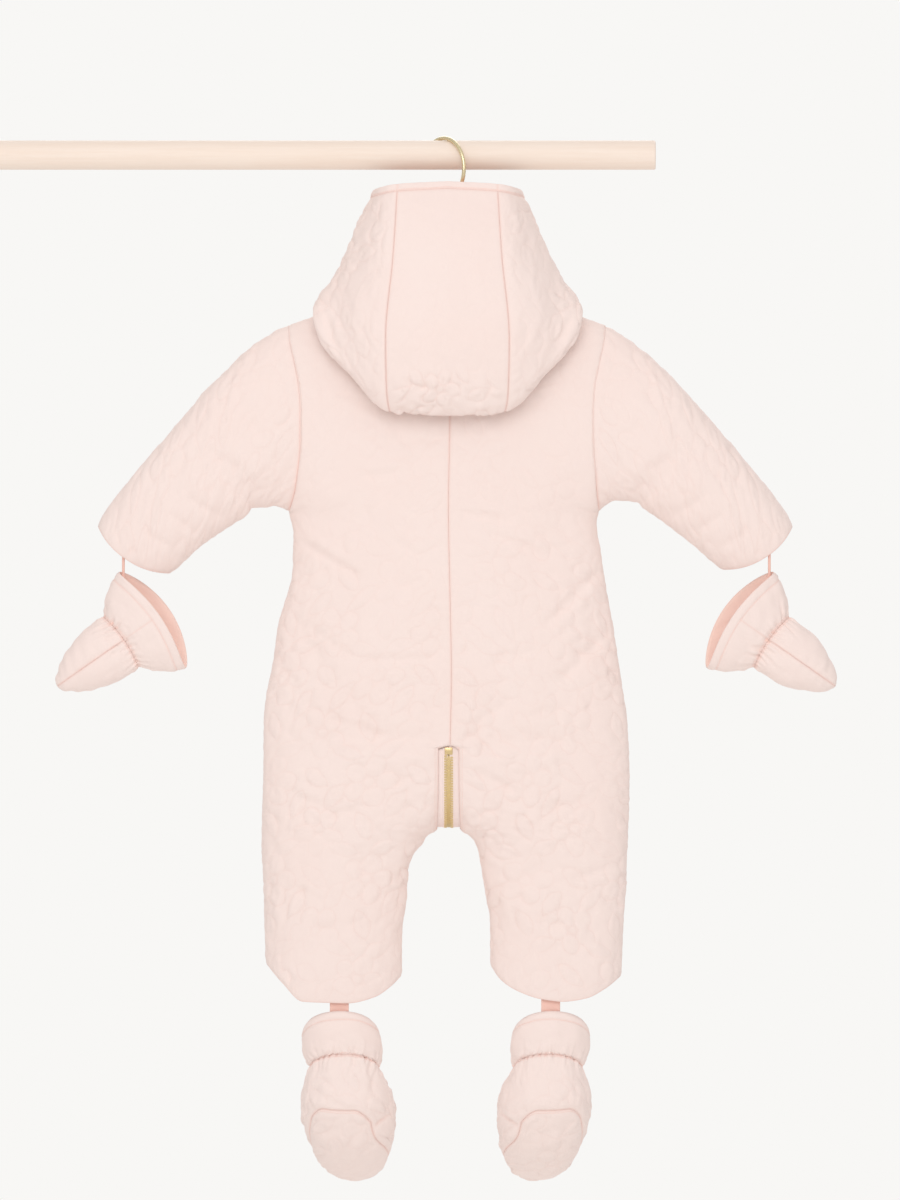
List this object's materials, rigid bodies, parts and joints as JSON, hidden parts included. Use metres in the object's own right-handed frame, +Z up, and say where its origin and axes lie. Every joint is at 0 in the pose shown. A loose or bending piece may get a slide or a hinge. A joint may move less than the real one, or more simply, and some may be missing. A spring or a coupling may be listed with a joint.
{
  "type": "baby snowsuit hanging on a hanger and a wall rod",
  "caption": "Lightly padded, quilted baby snowsuit with a hood, a front zip, mittens on ties and booties on tapes, hung by a hanger's wire hook over a round wood rod.",
  "frame": {"origin": "centre of the flat left end of the round rod", "axes": "+Z up; +X along the rod, to the right for someone who faces the garment's back; the garment's back faces -Y and its front faces +Y"},
  "size_m": [0.7874, 0.1345, 0.9647],
  "materials": {
    "quilted_cotton": "soft matt quilted cotton, pale blush",
    "salmon_tape": "matt woven tape, salmon",
    "zip_brass": "satin brass of the zip and the hook",
    "pale_wood": "smooth pale wood, light satin"
  },
  "bodies": {
    "garment": {"back_left": "quilted_cotton", "back_right": "quilted_cotton", "front_left": "quilted_cotton", "front_right": "quilted_cotton", "sleeve_left": "quilted_cotton", "sleeve_right": "quilted_cotton", "hood_centre": "quilted_cotton", "hood_side_left": "quilted_cotton", "hood_side_right": "quilted_cotton", "hood_band": "quilted_cotton", "zip_tape_left": "quilted_cotton", "zip_tape_right": "quilted_cotton", "zip_chain": "zip_brass", "zip_end_piece": "zip_brass", "zip_slider": "zip_brass", "mitten_left_cuff": "quilted_cotton", "mitten_left_hand_upper": "quilted_cotton", "mitten_left_hand_under": "quilted_cotton", "mitten_left_tie": "salmon_tape", "mitten_right_cuff": "quilted_cotton", "mitten_right_hand_upper": "quilted_cotton", "mitten_right_hand_under": "quilted_cotton", "mitten_right_tie": "salmon_tape", "bootie_left_cuff": "quilted_cotton", "bootie_left_upper": "quilted_cotton", "bootie_left_sole": "quilted_cotton", "bootie_left_tape": "salmon_tape", "bootie_right_cuff": "quilted_cotton", "bootie_right_upper": "quilted_cotton", "bootie_right_sole": "quilted_cotton", "bootie_right_tape": "salmon_tape", "hanger_arms": "pale_wood", "hook": "zip_brass", "rod": "pale_wood"},
    "pull": {"zip_pull": "zip_brass"}
  },
  "joints": [
    {"name": "pull_hinge", "type": "hinge", "parent": "garment", "child": "pull", "pos_m": [0.4306, 0.02984, -0.18477], "axis": [1, 0, 0], "range_deg": [0, 150]}
  ]
}
